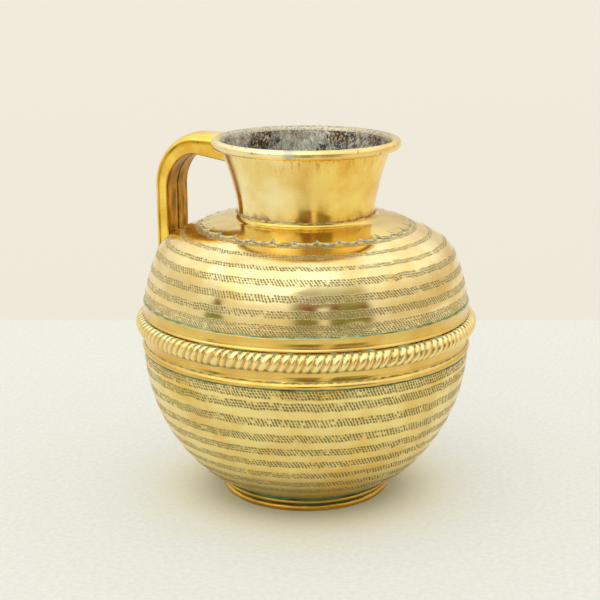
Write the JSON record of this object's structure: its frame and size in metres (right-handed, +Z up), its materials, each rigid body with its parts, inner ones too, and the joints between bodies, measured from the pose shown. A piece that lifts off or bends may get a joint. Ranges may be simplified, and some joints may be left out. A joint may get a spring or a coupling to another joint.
{
  "type": "milk pot",
  "caption": "Round-bellied brass milk pot with a flared neck, a rope moulding round the belly, a scalloped neck collar, a folded strap handle and a low foot ring.",
  "frame": {"origin": "on the pot's axis, in the plane that the foot ring stands on", "axes": "+Z up along the pot's axis, -X towards the handle"},
  "size_m": [0.25, 0.25, 0.2622],
  "materials": {
    "body_brass": "old polish, punched rings filled with grey-green tarnish",
    "band_brass": "worn polish with green tarnish along the joints",
    "rope_brass": "bright worn lobes with dark grooves",
    "collar_brass": "worn polish with grey solder along its edges",
    "neck_brass": "soft polish with fine lines round it and a brown stain at its foot",
    "handle_brass": "deep yellow hand-worn polish",
    "foot_brass": "dull, with green tarnish above",
    "wire_brass": "drawn wire",
    "tin_lining": "dull grey tin wipe, scratched, with brass showing through near the rim",
    "solder_grey": "dull grey soft solder, wiped by hand",
    "verdigris": "matt green tarnish"
  },
  "bodies": {
    "root": {"foot_ring": "foot_brass", "lower_bowl": "body_brass", "belly_band": "band_brass", "rope_moulding": "rope_brass", "shoulder_shell": "body_brass", "neck_collar": "collar_brass", "neck": "neck_brass", "rim_wire": "wire_brass", "handle": "handle_brass"}
  },
  "joints": []
}
